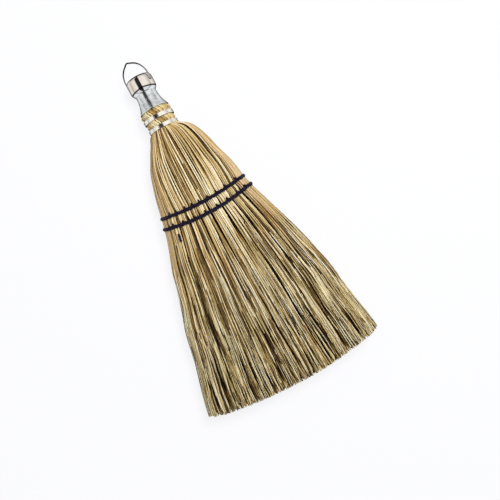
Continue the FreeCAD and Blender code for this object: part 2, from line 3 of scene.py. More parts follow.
import bpy
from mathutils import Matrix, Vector


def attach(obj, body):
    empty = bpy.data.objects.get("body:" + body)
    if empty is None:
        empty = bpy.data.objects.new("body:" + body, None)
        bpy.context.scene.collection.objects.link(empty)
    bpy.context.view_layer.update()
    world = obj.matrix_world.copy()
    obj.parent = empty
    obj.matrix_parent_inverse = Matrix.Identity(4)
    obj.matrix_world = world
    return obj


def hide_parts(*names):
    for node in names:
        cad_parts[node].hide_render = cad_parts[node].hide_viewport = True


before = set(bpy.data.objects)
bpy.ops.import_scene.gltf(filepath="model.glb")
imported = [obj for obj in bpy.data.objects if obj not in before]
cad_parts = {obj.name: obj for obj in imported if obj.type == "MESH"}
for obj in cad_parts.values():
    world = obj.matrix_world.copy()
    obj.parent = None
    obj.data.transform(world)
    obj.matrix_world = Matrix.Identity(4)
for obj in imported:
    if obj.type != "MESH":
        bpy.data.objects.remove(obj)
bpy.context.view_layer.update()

# Sizes in millimetres. Heights run along the broom from its longest tips to the hanging end.

MM = 0.001
TIPS_Y = -132.84
AXIS_Z = 14.0
STALK_END = 227.9
NECK = 210.2
UPPER_ROW = 152.3
LOWER_ROW = 144.7
UPPER_ROW_BOW = 3.4
LOWER_ROW_BOW = 4.8
TIP_ARCH = 8.0
HALF_NECK = 11.05
HALF_SEWN = 34.0
HALF_TIPS = 70.0
SHOULDER_FULLNESS = 0.53
FAN_FULLNESS = 1.35
HALF_DEPTHS = [
    (0.0, 14.0), (30.0, 13.6), (65.1, 12.9), (100.0, 11.8), (124.4, 10.85), (139.0, 10.0), (144.7, 9.4),
    (148.5, 11.0), (152.3, 9.4), (158.0, 10.5), (170.8, 12.7), (188.8, 14.0), (202.7, 12.4), (210.2, 11.05),
    (213.1, 11.05), (215.5, 12.1), (217.8, 11.3), (220.8, 11.3), (223.3, 12.5), (225.6, 11.3), (227.9, 10.4)]

CAP_BASE = 239.8
CAP_TOP = 254.0
CAP_RADIUS = 10.2
CAP_WALL = 0.5
CAP_CORNER = 3.4
CAP_DOME_BEND = 28.0
CAP_RIM_RISE = 4.0
CAP_RIM_BEND = 4.94
# Heights of the painted shade line above the cap's base and of the painted dark reflection line below its top
RIM_SHADE_LINE = 3.2
DOME_SHADE_LINE = 1.7
# Heights over which the bail wire turns near black toward its top
BAIL_DARK_FROM = 256.0
BAIL_DARK_TO = 262.0
SLEEVE_RIM = 225.9
SLEEVE_NECK_RADIUS = 8.1
SLEEVE_FLARE = 12.5
SLEEVE_FLARE_BEND = 24.07
SLEEVE_WALL = 0.4
# Outer radius, base and width
HOOPS = {"upper": (11.9, 217.8, 3.0), "lower": (11.6, 210.2, 2.9)}
HOOP_WALL = 0.5
HOOP_EDGE = 0.2
HOOP_INNER_EDGE = 0.1

# How far each edge of the hand-made fan stands out past its even outline, by height

LEFT_LEAN = [
    (0.0, 3.0), (12.0, 2.8), (22.0, 2.2), (33.0, 1.0), (48.0, 0.0), (64.0, 0.5), (74.0, 0.5), (84.0, -0.3),
    (102.0, -0.5), (114.0, 0.2), (135.0, -0.8), (160.0, 0.2), (186.0, 0.3), (194.0, -0.9), (199.0, -1.6),
    (205.0, -2.2), (208.5, -0.8), (210.2, 0.0)]
RIGHT_LEAN = [
    (0.0, 0.2), (30.0, 0.1), (45.0, 0.1), (66.0, 2.1), (95.0, 2.0), (122.0, 1.9), (144.0, 0.8), (160.0, 1.8),
    (172.0, 2.3), (180.0, 1.9), (194.0, 2.2), (205.0, 2.0), (208.5, 0.7), (210.2, 0.0)]

# Places along a stalk, as shares of the way from its hidden end to its cut tip

HOOPED = 0.08
UPPER_SEWN = 0.35
LOWER_SEWN = 0.39
BETWEEN_ROWS = (UPPER_SEWN + LOWER_SEWN) / 2
DRAWN_IN_FROM = UPPER_SEWN - 0.02
PARTED_TO, CLOSED_FROM = LOWER_SEWN + 0.02, LOWER_SEWN + 0.26
# Up to here the painted shade between the straws starts at a shallower depth, toward the neck
NECK_SHADE_TO = 0.22
WEAR_FROM, WEAR_FULL = 0.36, 0.85
CUT_FROM, CUT_TO = 0.965, 0.995

# How the sewing presses the straw level: fully this near the middle of the rows, not at all this far from it

PRESSED_NEAR, PRESSED_FAR, PRESSED_LEAST = 0.025, 0.15, 0.15

# Share of its length over which a straw comes up from below

EMERGED = 0.3

# Parts of the way round the broom, from the middle of the left edge over the front

SIDES = {"front": (0.09, 0.41), "right": (0.41, 0.59), "back": (0.59, 0.91), "left": (0.91, 1.09)}
LOCKS = 20
LOCK_SHIFT = 0.36

# How quickly each kind of noise changes: round the broom or from straw to straw, along the straw, and its slice

STRAND_WANDER = (60.0, 3.2, 9.0)
STRAW_CRINKLE = (7.31, 24.0, 1.7)
STRAW_DIVE = (9.13, 5.5, 2.3)
FURROWS = (150.0, 1.4, 1.0)
STRAND_SLICE = 2.63
# The noise runs from nought to one, and rarely leaves this middle part of it
NOISE_LOW, NOISE_HIGH = 0.3, 0.7
# Furrows lie where their noise is nearest its middle
FURROW_FLOOR, FURROW_EDGE = 0.025, 0.065
SEED_STEP = 101

# Depth at which the painted shade between the straws is black
DEPTH_SHADE_BLACK = 2.8 * MM

# Values that each straw carries for its finish
ATTRIBUTES = ("tone", "tint", "along", "deep")


def in_frame(across, height, depth):
    """A point of the broom in metres, in the shared frame."""
    return Vector((across, height + TIPS_Y, depth + AXIS_Z)) * MM


def frame_y(height):
    """A height along the broom as the shared frame's Y, in metres."""
    return (height + TIPS_Y) * MM


def smooth_through(knots, place):
    """A smooth curve through the knots, read at one place."""
    last = len(knots) - 1
    index = max(i for i in range(last) if knots[i][0] <= place or i == 0)
    (x0, y0), (x1, y1) = knots[index], knots[index + 1]
    before, after = knots[max(index - 1, 0)], knots[min(index + 2, last)]
    slope0 = (y1 - before[1]) / (x1 - before[0])
    slope1 = (after[1] - y0) / (after[0] - x0)
    t = min(max((place - x0) / (x1 - x0), 0.0), 1.0)
    span = x1 - x0
    return ((2 * t ** 3 - 3 * t ** 2 + 1) * y0 + (t ** 3 - 2 * t ** 2 + t) * span * slope0
            + (3 * t ** 2 - 2 * t ** 3) * y1 + (t ** 3 - t ** 2) * span * slope1)


def half_width(height):
    """Half the even outline's width: neck, full shoulder, flat sewing and spread fan."""
    if height >= NECK:
        return smooth_through(HALF_DEPTHS, height)
    if height >= UPPER_ROW:
        way = (NECK - height) / (NECK - UPPER_ROW)
        return HALF_NECK + (HALF_SEWN - HALF_NECK) * way ** SHOULDER_FULLNESS
    way = min(1 - height / UPPER_ROW, 1.0)
    return HALF_SEWN + (HALF_TIPS - HALF_SEWN) * (1 - (1 - way) ** FAN_FULLNESS)


def round_the_broom(wide, deep, share):
    """Point on the flat-sided, round-ended outline and the way out from it."""
    flat = max(wide - deep, 0.0)
    quarter = math.pi * deep / 2
    face = 1 if share % 1 < 0.5 else -1
    run = share % 0.5 * 4 * (quarter + flat)
    if run < quarter:
        turn = run / deep
        out = (-math.cos(turn), math.sin(turn))
        point = (-flat + deep * out[0], deep * out[1])
    elif run < quarter + 2 * flat:
        out = (0.0, 1.0)
        point = (-flat + run - quarter, deep)
    else:
        turn = (run - quarter - 2 * flat) / deep
        out = (math.sin(turn), math.cos(turn))
        point = (flat + deep * out[0], deep * out[1])
    return face * point[0], face * point[1], face * out[0], face * out[1]


def straw_height(aside, along):
    """Height of a point on the straw; the sewing rows bow and the tips are cut in an arch."""
    marks = [(0.0, STALK_END), (HOOPED, NECK), (UPPER_SEWN, UPPER_ROW - UPPER_ROW_BOW * (1 - aside)),
             (LOWER_SEWN, LOWER_ROW - LOWER_ROW_BOW * (1 - aside)), (1.0, TIP_ARCH * aside)]
    for (a0, h0), (a1, h1) in zip(marks, marks[1:]):
        if along <= a1:
            return h0 + (h1 - h0) * (along - a0) / (a1 - a0)
    return marks[-1][1]


def on_straw(share, along, lift=0.0):
    """Point on the outside of the straw, or above it."""
    aside = (round_the_broom(HALF_TIPS, HALF_DEPTHS[0][1], share)[0] / HALF_TIPS) ** 2
    height = straw_height(aside, along)
    wide = half_width(height)
    thick = smooth_through(HALF_DEPTHS, straw_height(1.0, along))
    across, deep, out_x, out_z = round_the_broom(wide, thick, share)
    lean = smooth_through(LEFT_LEAN if across < 0 else RIGHT_LEAN, min(height, NECK))
    return in_frame(across * (1 + lean / wide) + lift * out_x, height, deep + lift * out_z)


# Pieces

def mesh_of(name, points, faces=(), edges=()):
    mesh = bpy.data.meshes.new(name)
    mesh.from_pydata(points, edges, faces)
    mesh.update()
    return mesh


def thread_of(name, points):
    """A path through the points, as a chain of edges."""
    return mesh_of(name, points, edges=[(i, i + 1) for i in range(len(points) - 1)])


def show(name, mesh, instead_of):
    """Puts a finished piece of the broom in the scene."""
    piece = bpy.data.objects.new(name, mesh)
    bpy.context.collection.objects.link(piece)
    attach(piece, "broom")
    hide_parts(*instead_of)


def straw_sheet(name, rows=110, columns=128, neck_rows=24):
    """The straw's outer surface, laid out as a sheet: across it the share round, down it the way along."""
    alongs = sorted({HOOPED * i / neck_rows for i in range(neck_rows + 1)}
                    | {HOOPED + (1 - HOOPED) * i / rows for i in range(rows + 1)})
    not_quite_round = 0.999999
    points = [on_straw(c / columns * not_quite_round, a) for a in alongs for c in range(columns + 1)]
    wide = columns + 1
    faces = [(r * wide + c, (r + 1) * wide + c, (r + 1) * wide + c + 1, r * wide + c + 1)
             for r in range(len(alongs) - 1) for c in range(columns)]
    mesh = mesh_of(name, points, faces)
    laid_out = mesh.uv_layers.new(name="sheet")
    for loop in mesh.loops:
        row, column = divmod(loop.vertex_index, wide)
        laid_out.data[loop.index].uv = (column / columns, alongs[row])
    mesh.polygons.foreach_set("use_smooth", [True] * len(mesh.polygons))
    return mesh


# Node trees

def colour(code):
    """A hex colour, as the eye names it, in linear light."""
    parts = [int(code[i:i + 2], 16) / 255 for i in (1, 3, 5)]
    return tuple(p / 12.92 if p <= 0.04045 else ((p + 0.055) / 1.055) ** 2.4 for p in parts) + (1.0,)


def add(tree, kind, feeds=None, stops=(), **settings):
    """Adds a node, sets it up, feeds its inputs by name or number and gives its first output."""
    made = tree.nodes.new(kind)
    for name, setting in settings.items():
        setattr(made, name, setting)
    for index, (place, shade) in enumerate(stops):
        ramp = made.color_ramp.elements
        stop = ramp[index] if index < len(ramp) else ramp.new(place)
        stop.position = place
        stop.color = shade
    ready = [socket for socket in made.inputs if socket.enabled]
    for key, source in (feeds or {}).items():
        socket = ready[key] if isinstance(key, int) else next(s for s in ready if s.name == key)
        if isinstance(source, bpy.types.NodeSocket):
            tree.links.new(source, socket)
        else:
            socket.default_value = source
    return next((socket for socket in made.outputs if socket.enabled), None)


def maths(tree, operation, *values):
    """One step of arithmetic on numbers or sockets."""
    return add(tree, "ShaderNodeMath", dict(enumerate(values)), operation=operation)


def vectors(tree, operation, *values):
    """One step of arithmetic on vectors."""
    return add(tree, "ShaderNodeVectorMath", dict(enumerate(values)), operation=operation)


def scaled(tree, vector, amount):
    return add(tree, "ShaderNodeVectorMath", {0: vector, "Scale": amount}, operation="SCALE")


def ranged(tree, value, start, stop, low=0.0, high=1.0, **settings):
    """A value carried over from one range to another."""
    return add(tree, "ShaderNodeMapRange", {
        "Value": value, "From Min": start, "From Max": stop, "To Min": low, "To Max": high}, **settings)


def noise(tree, where, scale=1.0, detail=1.0):
    return add(tree, "ShaderNodeTexNoise", {"Vector": where, "Scale": scale, "Detail": detail})


def swing(tree, value):
    """Noise as a swing to both sides of nought."""
    return maths(tree, "SUBTRACT", value, 0.5)


def mixed(tree, share, first, second, kind="RGBA", blend="MIX"):
    return add(tree, "ShaderNodeMix", {
        "Factor": share, "A": first, "B": second}, data_type=kind, blend_type=blend)


def tinted(tree, first, second):
    """One colour laid over another as a stain."""
    return mixed(tree, 1.0, first, second, blend="MULTIPLY")


def ramp_of(tree, share, stops):
    """A scale of hex colours, read at a share."""
    return add(tree, "ShaderNodeValToRGB", {"Fac": share}, stops=[(p, colour(code)) for p, code in stops])


def growing_tree(name, sizes):
    """An empty node tree with named inputs, its group input's sockets and its output node."""
    tree = bpy.data.node_groups.new(name, "GeometryNodeTree")
    tree.interface.new_socket("Geometry", in_out="INPUT", socket_type="NodeSocketGeometry")
    for label, kind in sizes.items():
        tree.interface.new_socket(label, in_out="INPUT", socket_type="NodeSocket" + kind)
    tree.interface.new_socket("Geometry", in_out="OUTPUT", socket_type="NodeSocketGeometry")
    return tree, tree.nodes.new("NodeGroupInput").outputs, tree.nodes.new("NodeGroupOutput")


def end_in_tubes(tree, result, curves, sides, thick, finish):
    """Ends a node tree: the curves become closed tubes with their finish."""
    section = add(tree, "GeometryNodeCurvePrimitiveCircle", {"Resolution": sides, "Radius": 1.0})
    tubes = add(tree, "GeometryNodeCurveToMesh", {
        "Curve": curves, "Profile Curve": section, "Scale": thick, "Fill Caps": True})
    tubes = add(tree, "GeometryNodeSetShadeSmooth", {"Geometry": tubes})
    tubes = add(tree, "GeometryNodeRealizeInstances", {"Geometry": tubes})
    tubes = add(tree, "GeometryNodeSetMaterial", {"Geometry": tubes, "Material": finish})
    tree.links.new(tubes, result.inputs["Geometry"])
    return tree


def grow(name, base, tree, **sizes):
    """Runs a node tree on a start mesh and gives the result as a plain mesh."""
    carrier = bpy.data.objects.new(name, base)
    bpy.context.collection.objects.link(carrier)
    modifier = carrier.modifiers.new("grow", "NODES")
    modifier.node_group = tree
    for item in tree.interface.items_tree:
        label = item.name.lower().replace(" ", "_")
        if item.in_out == "INPUT" and label in sizes:
            modifier[item.identifier] = sizes[label]
    grown = bpy.data.meshes.new_from_object(carrier.evaluated_get(bpy.context.evaluated_depsgraph_get()))
    grown.name = name
    bpy.data.objects.remove(carrier)
    return grown


def joined(name, meshes):
    """Several meshes with the same attributes as one."""
    carriers = []
    for mesh in meshes:
        carrier = bpy.data.objects.new(name, mesh)
        bpy.context.collection.objects.link(carrier)
        carriers.append(carrier)
    with bpy.context.temp_override(active_object=carriers[0], selected_editable_objects=carriers):
        bpy.ops.object.join()
    mesh = carriers[0].data
    bpy.data.objects.remove(carriers[0])
    mesh.name = name
    return mesh


def straw_tree():
    """Straws that follow the straw sheet. Each wanders, dives under its neighbours and comes up again."""
    tree, size, result = growing_tree("straw", {
        "Share From": "Float", "Share To": "Float", "Straws": "Int", "Scatter": "Float", "Joints": "Int",
        "Sides": "Int", "Start": "Float", "Start Spread": "Float", "End": "Float", "End Spread": "Float",
        "Inset": "Float", "Dive": "Float", "Emerge": "Float", "Hollow": "Float", "Parting": "Float",
        "Root": "Float", "Tip": "Float", "Thickness Spread": "Float", "Wander": "Float", "Crinkle": "Float",
        "Twist": "Float", "Seed": "Int", "Finish": "Material"})
    line = add(tree, "GeometryNodeCurvePrimitiveLine")
    line = add(tree, "GeometryNodeResampleCurve", {"Curve": line, "Count": size["Joints"]})
    copies = add(tree, "GeometryNodeDuplicateElements", {
        "Geometry": line, "Amount": size["Straws"]}, domain="SPLINE")
    which = copies.node.outputs["Duplicate Index"]
    way = add(tree, "GeometryNodeSplineParameter")
    chance = {}
    for offset, name in enumerate(("start", "end", "spacing", "thickness", "tone", "tint")):
        seed = maths(tree, "ADD", size["Seed"], float(offset * SEED_STEP))
        chance[name] = add(tree, "FunctionNodeRandomValue", {"ID": which, "Seed": seed}, data_type="FLOAT")

    # Place along the straw
    start = maths(tree, "MULTIPLY_ADD", chance["start"], size["Start Spread"], size["Start"])
    short = maths(tree, "MULTIPLY", chance["end"], chance["end"])
    short = maths(tree, "MULTIPLY", short, size["End Spread"])
    end = maths(tree, "SUBTRACT", size["End"], short)
    along = ranged(tree, way, 0.0, 1.0, start, end)

    # Place round the broom: whole strands wander and single straws crinkle, both more toward the tips
    spaced = maths(tree, "MULTIPLY_ADD", chance["spacing"], size["Scatter"], which)
    spaced = maths(tree, "DIVIDE", spaced, size["Straws"])
    rooted = ranged(tree, spaced, 0.0, 1.0, size["Share From"], size["Share To"], clamp=False)
    share = rooted
    free = ranged(tree, along, LOWER_SEWN, 1.0)
    own = add(tree, "ShaderNodeCombineXYZ", {"X": which, "Y": along, "Z": size["Seed"]})
    strand = add(tree, "ShaderNodeCombineXYZ", {"X": rooted, "Y": along, "Z": STRAND_SLICE})
    for course, rates, amount in (
            (strand, STRAND_WANDER, size["Wander"]), (own, STRAW_CRINKLE, size["Crinkle"])):
        drift = swing(tree, noise(tree, vectors(tree, "MULTIPLY", course, rates)))
        drift = maths(tree, "MULTIPLY", drift, amount)
        share = maths(tree, "MULTIPLY_ADD", drift, free, share)
    turned_back = maths(tree, "SUBTRACT", 1.0, way)
    share = maths(tree, "MULTIPLY_ADD", turned_back, size["Twist"], share)

    # The sewing draws the straw into locks with partings between them, which close below the lower row
    drawn_in = ranged(tree, along, DRAWN_IN_FROM, LOWER_SEWN, interpolation_type="SMOOTHSTEP")
    let_go = ranged(tree, along, PARTED_TO, CLOSED_FROM, size["Parting"], 0.0)
    drawn_in = maths(tree, "MULTIPLY", drawn_in, let_go)
    aside = maths(tree, "MULTIPLY_ADD", share, float(LOCKS), LOCK_SHIFT)
    aside = maths(tree, "WRAP", aside, 0.5, -0.5)
    aside = maths(tree, "MULTIPLY", aside, -1.0 / LOCKS)
    share = maths(tree, "MULTIPLY_ADD", aside, drawn_in, share)
    share = maths(tree, "WRAP", share, 1.0, 0.0)

    # Depth below the sheet: each straw dives, and whole strands sink into thin furrows
    dive = noise(tree, vectors(tree, "MULTIPLY", own, STRAW_DIVE), detail=0.0)
    dive = ranged(tree, dive, NOISE_LOW, NOISE_HIGH)
    ridge = noise(tree, vectors(tree, "MULTIPLY", strand, FURROWS), detail=2.0)
    ridge = maths(tree, "ABSOLUTE", swing(tree, ridge))
    furrow = ranged(tree, ridge, FURROW_FLOOR, FURROW_EDGE, 1.0, 0.0)
    furrow = maths(tree, "MULTIPLY", furrow, size["Hollow"])
    loose = maths(tree, "MULTIPLY_ADD", dive, size["Dive"], furrow)
    # The sewing presses the straw level
    from_rows = maths(tree, "ABSOLUTE", maths(tree, "SUBTRACT", along, BETWEEN_ROWS))
    pressed = ranged(tree, from_rows, PRESSED_NEAR, PRESSED_FAR, PRESSED_LEAST, 1.0)
    inset = maths(tree, "MULTIPLY_ADD", loose, pressed, size["Inset"])
    emerge = ranged(tree, way, 0.0, EMERGED, size["Emerge"], 0.0, interpolation_type="SMOOTHSTEP")
    inset = maths(tree, "ADD", inset, emerge)

    # The sheet's point and outward direction at that place
    spot = add(tree, "ShaderNodeCombineXYZ", {"X": share, "Y": along})
    laid_out = add(tree, "GeometryNodeInputNamedAttribute", {"Name": "sheet"}, data_type="FLOAT_VECTOR")
    surface, outward = (add(tree, "GeometryNodeSampleUVSurface", {
        "Mesh": size["Geometry"], "Value": add(tree, kind), "UV Map": laid_out, "Sample UV": spot},
        data_type="FLOAT_VECTOR") for kind in ("GeometryNodeInputPosition", "GeometryNodeInputNormal"))
    sunk = scaled(tree, outward, maths(tree, "MULTIPLY", inset, -1.0))
    place = vectors(tree, "ADD", surface, sunk)
    straws = add(tree, "GeometryNodeSetPosition", {"Geometry": copies, "Position": place})

    # Thickness, and the values that the finish reads
    thick = ranged(tree, way, 0.0, 1.0, size["Root"], size["Tip"])
    varied = maths(tree, "MULTIPLY_ADD", swing(tree, chance["thickness"]), size["Thickness Spread"], 1.0)
    thick = maths(tree, "MULTIPLY", thick, varied)
    for name, value in zip(ATTRIBUTES, (chance["tone"], chance["tint"], along, inset)):
        straws = add(tree, "GeometryNodeStoreNamedAttribute", {
            "Geometry": straws, "Name": name, "Value": value}, data_type="FLOAT", domain="POINT")
    return end_in_tubes(tree, result, straws, size["Sides"], thick, size["Finish"])


def twine_tree():
    """Three-ply twine laid along a path."""
    tree, size, result = growing_tree("twine", {
        "Ply": "Float", "Lay": "Float", "Step": "Float", "Finish": "Material"})
    path = add(tree, "GeometryNodeMeshToCurve", {"Mesh": size["Geometry"]})
    path = add(tree, "GeometryNodeCurveSplineType", {"Curve": path}, spline_type="CATMULL_ROM")
    path = add(tree, "GeometryNodeResampleCurve", {"Curve": path, "Length": size["Step"]}, mode="LENGTH")
    plies = add(tree, "GeometryNodeDuplicateElements", {"Geometry": path, "Amount": 3}, domain="SPLINE")
    which = plies.node.outputs["Duplicate Index"]
    length = add(tree, "GeometryNodeSplineParameter").node.outputs["Length"]
    turns = maths(tree, "DIVIDE", length, size["Lay"])
    turns = maths(tree, "MULTIPLY_ADD", which, 1 / 3, turns)
    angle = maths(tree, "MULTIPLY", turns, math.tau)
    ahead = add(tree, "GeometryNodeInputTangent")
    up = add(tree, "GeometryNodeInputNormal")
    aside = vectors(tree, "CROSS_PRODUCT", ahead, up)
    up = scaled(tree, up, maths(tree, "COSINE", angle))
    aside = scaled(tree, aside, maths(tree, "SINE", angle))
    spread = 1.1
    reach = maths(tree, "MULTIPLY", size["Ply"], spread)
    offset = scaled(tree, vectors(tree, "ADD", up, aside), reach)
    plies = add(tree, "GeometryNodeSetPosition", {"Geometry": plies, "Offset": offset})
    return end_in_tubes(tree, result, plies, 6, size["Ply"], size["Finish"])


# Finishes

def new_finish(name):
    """A material with its node tree and its surface shader's inputs."""
    finish = bpy.data.materials.new(name)
    finish.use_nodes = True
    tree = finish.node_tree
    return finish, tree, tree.nodes["Principled BSDF"].inputs


def place_on(tree):
    """The place on the object, in metres."""
    return add(tree, "ShaderNodeTexCoord").node.outputs["Object"]


def emboss(tree, skin, height, strength, depth):
    """Fine relief in the shading."""
    bump = add(tree, "ShaderNodeBump", {"Height": height, "Strength": strength, "Distance": depth})
    tree.links.new(bump, skin["Normal"])


def make_metal(skin):
    """Bare metal that goes dark where it turns away."""
    skin["Metallic"].default_value = 1.0
    skin["Specular Tint"].default_value = (0.02, 0.02, 0.02, 1.0)


def dried_broomcorn(name, stops, aged, variety, shade_from, neck_shade_from):
    """Dried broomcorn: smooth skin over pith, each straw its own tone, some greenish or ruddy; duller toward
    the tips, and painted darker with depth between the straws, as shade."""
    finish, tree, skin = new_finish(name)
    where = place_on(tree)
    tone, tint, along, deep = (add(tree, "ShaderNodeAttribute", attribute_name=a).node.outputs["Fac"]
                               for a in ATTRIBUTES)
    # Skin streaks about 0.5 mm wide and 15 mm long
    streak = add(tree, "ShaderNodeMapping", {"Vector": where, "Scale": (2000.0, 66.0, 2000.0)})
    streak = noise(tree, streak, detail=2.0)
    shade = maths(tree, "MULTIPLY_ADD", swing(tree, streak), 0.5, tone)
    # Each straw pales and darkens along its length, in stretches about 35 mm long
    stretch = add(tree, "ShaderNodeCombineXYZ", {"X": tone, "Y": along, "Z": tint})
    stretch = noise(tree, vectors(tree, "MULTIPLY", stretch, (41.0, 6.5, 53.0)))
    shade = maths(tree, "MULTIPLY_ADD", swing(tree, stretch), 0.45, shade)
    skin_colour = ramp_of(tree, shade, stops)
    hue = ramp_of(tree, tint, (
        (0.0, "#dfe4b4"), (0.1, "#eeeed0"), (0.22, "#ffffff"), (0.86, "#ffffff"), (0.94, "#f2d3b8")))
    hue = mixed(tree, variety, colour("#ffffff"), hue)
    worn = ranged(tree, along, WEAR_FROM, WEAR_FULL)
    hue = mixed(tree, worn, hue, tinted(tree, hue, colour(aged)))
    skin_colour = tinted(tree, skin_colour, hue)
    # Painted shade between the straws: darker with depth below the surface, black at about 3 mm; it starts at a
    # shallower depth toward the neck and mostly fades at the cut tips
    shade_start = ranged(tree, along, HOOPED, NECK_SHADE_TO, neck_shade_from, shade_from)
    depth_shade = ranged(tree, deep, shade_start, DEPTH_SHADE_BLACK)
    cut = ranged(tree, along, CUT_FROM, CUT_TO, 1.0, 0.1)
    depth_shade = maths(tree, "MULTIPLY", depth_shade, cut)
    skin_colour = tinted(tree, skin_colour, ramp_of(tree, depth_shade, (
        (0.0, "#ffffff"), (0.3, "#e2d4b8"), (0.65, "#8a744c"), (1.0, "#201509"))))
    tree.links.new(skin_colour, skin["Base Color"])
    tree.links.new(ranged(tree, depth_shade, 0.0, 1.0, 0.36, 0.95), skin["Roughness"])
    skin["Specular IOR Level"].default_value = 0.5
    emboss(tree, skin, streak, 0.3, 0.1 * MM)
    return finish


def waxed_twine():
    """Waxed linen twine, dyed near-black blue: matt, with fine fibres along the plies."""
    finish, tree, yarn = new_finish("waxed_linen_twine")
    where = place_on(tree)
    # Fibre tufts about 0.3 mm
    fibre = noise(tree, where, 3300.0, 2.0)
    tree.links.new(ramp_of(tree, fibre, ((0.3, "#06050c"), (0.75, "#211a3a"))), yarn["Base Color"])
    yarn["Roughness"].default_value = 0.55
    yarn["Specular IOR Level"].default_value = 0.3
    emboss(tree, yarn, fibre, 0.4, 0.1 * MM)
    return finish


def polished_nickel():
    """Nickel plate on pressed steel: a warm mirror with handling haze, a painted shade line at the rim and a
    painted dark reflection at the shoulder.
    """
    finish, tree, plate = new_finish("polished_nickel_plate")
    where = place_on(tree)
    # Haze in patches about 4 mm across
    haze = noise(tree, where, 250.0, 3.0)
    tree.links.new(ranged(tree, haze, NOISE_LOW, NOISE_HIGH, 0.06, 0.13), plate["Roughness"])
    tint = ramp_of(tree, haze, ((NOISE_LOW, "#e6ddd0"), (NOISE_HIGH, "#f0e9de")))
    # A dark line about 1 mm wide painted where the rim starts to turn in, as the shade in that crease, and
    # plating worn to bare steel below it
    parts = add(tree, "ShaderNodeSeparateXYZ", {"Vector": where}).node.outputs
    rim = maths(tree, "MULTIPLY_ADD", maths(tree, "ABSOLUTE", parts["X"]), 0.12, parts["Y"])
    rim = maths(tree, "SUBTRACT", rim, frame_y(CAP_BASE + RIM_SHADE_LINE))
    bare = ranged(tree, rim, -0.4 * MM, 0.2 * MM, 1.0, 0.0)
    tint = mixed(tree, bare, tint, colour("#e8eced"))
    rim = ranged(tree, maths(tree, "ABSOLUTE", rim), 0.3 * MM, 0.8 * MM, 0.04, 1.0)
    # A dark line about 1 mm wide painted where the wall turns into the dome, as a painted dark reflection
    edge = maths(tree, "ABSOLUTE", maths(tree, "SUBTRACT", parts["Y"], frame_y(CAP_TOP - DOME_SHADE_LINE)))
    edge = ranged(tree, edge, 0.5 * MM, 1.1 * MM, 0.06, 1.0)
    tint = scaled(tree, tint, maths(tree, "MULTIPLY", rim, edge))
    tree.links.new(tint, plate["Base Color"])
    make_metal(plate)
    return finish


def tinned_steel(name, dark, light, smoothest, roughest):
    """Tinned sheet steel, drawn and burnished: pale, with fine rings round it and soft spangle."""
    finish, tree, tin = new_finish(name)
    where = place_on(tree)
    # Burnishing rings about 0.3 mm apart
    rings = add(tree, "ShaderNodeMapping", {"Vector": where, "Scale": (150.0, 3300.0, 150.0)})
    rings = noise(tree, rings, detail=2.0)
    # Spangle in patches about 2 mm across
    spangle = noise(tree, where, 500.0, 2.0)
    worn = mixed(tree, 0.65, rings, spangle, kind="FLOAT")
    tree.links.new(ranged(tree, worn, 0.36, 0.64, smoothest, roughest), tin["Roughness"])
    tree.links.new(ramp_of(tree, worn, ((0.36, dark), (0.64, light))), tin["Base Color"])
    make_metal(tin)
    emboss(tree, tin, rings, 0.1, 0.05 * MM)
    return finish


def drawn_wire(name, dark, light, dark_span=None):
    """Drawn steel wire: grey, with die marks along it, and near black above a given span of heights."""
    finish, tree, wire = new_finish(name)
    where = place_on(tree)
    # Die marks about 0.2 mm
    marks = noise(tree, where, 5000.0, 1.0)
    tint = ramp_of(tree, marks, ((NOISE_LOW, dark), (NOISE_HIGH, light)))
    if dark_span:
        # Darker toward the top of the bail, near black above the given span
        height = add(tree, "ShaderNodeSeparateXYZ", {"Vector": where}).node.outputs["Y"]
        tint = mixed(tree, ranged(tree, height, *dark_span, 0.0, 0.95), tint, colour("#161616"))
    tree.links.new(tint, wire["Base Color"])
    make_metal(wire)
    tree.links.new(ranged(tree, marks, 0.0, 1.0, 0.25, 0.45), wire["Roughness"])
    return finish


# The two depth arguments set where the painted shade between the straws starts: in the body and at the neck
straw_skin = dried_broomcorn("broomcorn_stalk", [
    (0.0, "#4a3618"), (0.1, "#86683a"), (0.24, "#c6a86e"), (0.42, "#e2ca98"),
    (0.7, "#f4e0b2"), (1.0, "#fff6d8")],
    aged="#e4e2d6", variety=0.5, shade_from=1.3 * MM, neck_shade_from=0.7 * MM)
# Straw for the left and right sides: a darker ramp, painted as the shade that falls on the broom's sides
side_shaded_skin = dried_broomcorn("handled_broomcorn_stalk", [
    (0.0, "#3e2c12"), (0.1, "#72552c"), (0.24, "#aa8b54"), (0.42, "#c6aa78"),
    (0.7, "#d6bc8c"), (1.0, "#e4d4ae")],
    aged="#e4e2d6", variety=0.5, shade_from=1.3 * MM, neck_shade_from=0.7 * MM)
brush_skin = dried_broomcorn("broomcorn_brush", [
    (0.0, "#3a2a0c"), (0.24, "#705728"), (0.42, "#d2b982"), (0.64, "#ffefc6"), (1.0, "#fffdf0")],
    aged="#e3e0d2", variety=0.6, shade_from=0.7 * MM, neck_shade_from=0.7 * MM)
inner_skin = dried_broomcorn("broomcorn_core", [
    (0.0, "#a88a52"), (0.5, "#d2b67e"), (1.0, "#eedaaa")],
    aged="#e3e0d2", variety=0.3, shade_from=1.4 * MM, neck_shade_from=1.4 * MM)
collar_skin = dried_broomcorn("broomcorn_butt", [
    (0.0, "#94763e"), (0.3, "#ccb278"), (0.7, "#e4d09e"), (1.0, "#faeec8")],
    aged="#ffffff", variety=0.2, shade_from=1.3 * MM, neck_shade_from=1.3 * MM)
twine_yarn = waxed_twine()
nickel = polished_nickel()
sleeve_steel = tinned_steel("tinned_sleeve_steel", "#c2c9cd", "#ffffff", 0.14, 0.3)
hoop_steel = tinned_steel("tinned_hoop_steel", "#ece6d8", "#fffdf4", 0.14, 0.26)
